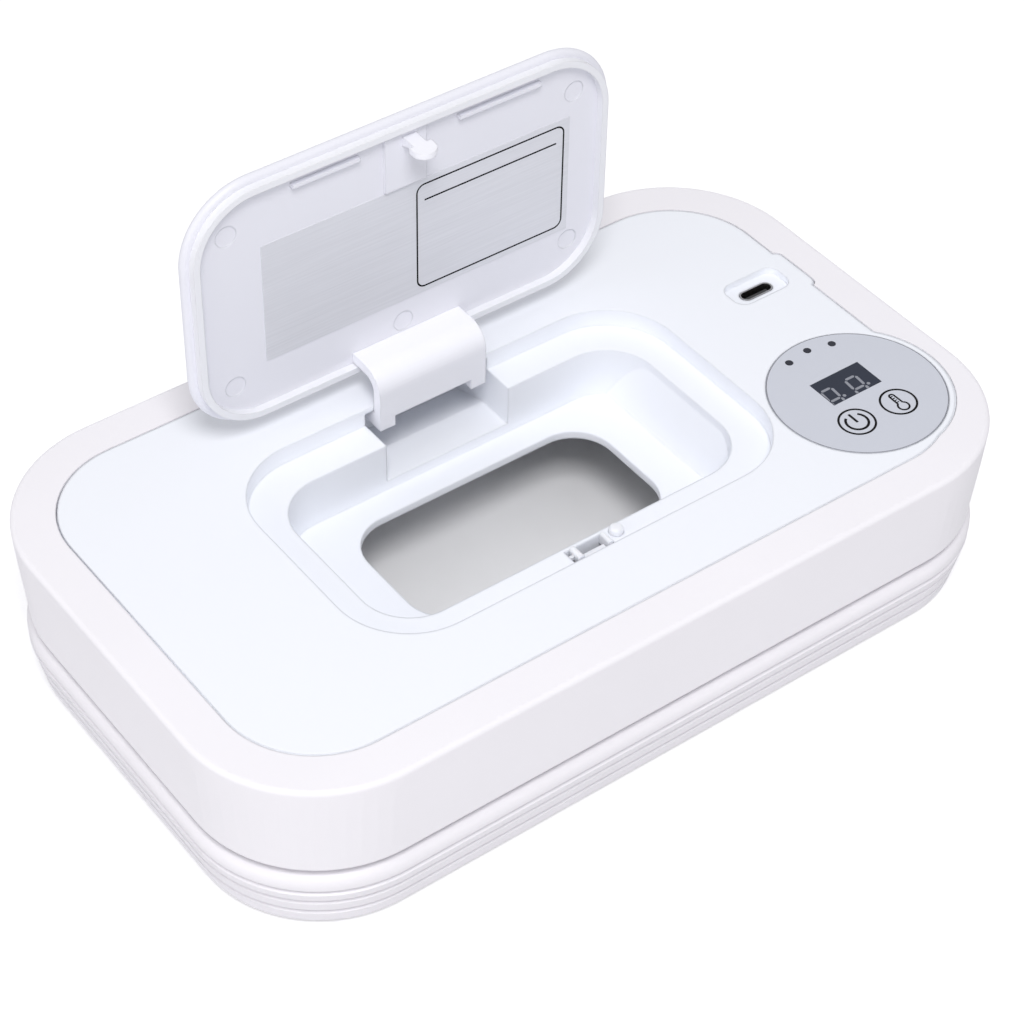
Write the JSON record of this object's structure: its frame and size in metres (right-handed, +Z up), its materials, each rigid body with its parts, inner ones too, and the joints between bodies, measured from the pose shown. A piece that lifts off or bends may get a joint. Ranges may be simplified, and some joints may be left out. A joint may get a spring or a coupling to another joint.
{
  "type": "baby wipe warmer",
  "caption": "Low rounded-rectangle wipe warmer with a hinged dispensing lid standing open, a recessed dispensing mouth, a round control panel and a ribbed base.",
  "frame": {"origin": "centre of the footprint on the surface that the feet stand on", "axes": "+Z up, +X to the side with the control disc, +Y to the side with the hinge"},
  "size_m": [0.2026, 0.1226, 0.1107],
  "materials": {
    "casing_plastic": "satin warm white",
    "tray_plastic": "light grey",
    "foot_rubber": "matt dark grey",
    "band_plastic": "satin warm white",
    "plate_plastic": "smooth cool white",
    "heater_foil": "amber polyimide film",
    "dark_plastic": "dark grey",
    "disc_film": "grey panel film",
    "window_film": "dark slate window",
    "indicator": "dark indicator lens",
    "bright_steel": "bright steel",
    "circuit_board": "green board",
    "clear_silicone": "milky silicone",
    "latch_plastic": "milky nylon",
    "lid_plastic": "smooth white",
    "seal_silicone": "white silicone",
    "silver_foil": "silver-grey foil"
  },
  "bodies": {
    "base": {"casing": "casing_plastic", "tray": "tray_plastic", "foot_0": "foot_rubber", "foot_1": "foot_rubber", "foot_2": "foot_rubber", "foot_3": "foot_rubber"},
    "cover": {"band": "band_plastic", "top_plate": "plate_plastic", "warming_frame": "tray_plastic", "heater_foil": "heater_foil", "temperature_probe": "dark_plastic", "control_disc": "disc_film", "display_window": "window_film", "display_module": "dark_plastic", "led_0": "indicator", "led_1": "indicator", "led_2": "indicator", "touch_spring_0": "bright_steel", "touch_spring_1": "bright_steel", "control_board": "circuit_board", "socket_shell": "bright_steel", "socket_tongue": "dark_plastic", "socket_board": "circuit_board", "hinge_pin": "bright_steel", "hinge_spring": "bright_steel", "latch_case": "plate_plastic", "latch_spring": "bright_steel", "lid_bumper": "clear_silicone"},
    "lid": {"lid_panel": "lid_plastic", "lid_arm": "lid_plastic", "lid_seal": "seal_silicone", "lid_foil": "silver_foil", "lid_hook": "lid_plastic"},
    "latch": {"latch_catch": "latch_plastic"}
  },
  "joints": [
    {"name": "cover_lift", "type": "slide", "parent": "base", "child": "cover", "axis": [0, 0, 1], "range_m": [0, 0.06]},
    {"name": "lid_hinge", "type": "hinge", "parent": "cover", "child": "lid", "pos_m": [0, 0.0366, 0.0399], "axis": [1, 0, 0], "range_deg": [0, 90]},
    {"name": "latch_slide", "type": "slide", "parent": "cover", "child": "latch", "axis": [0, 1, 0], "range_m": [0, 0.0015]}
  ]
}
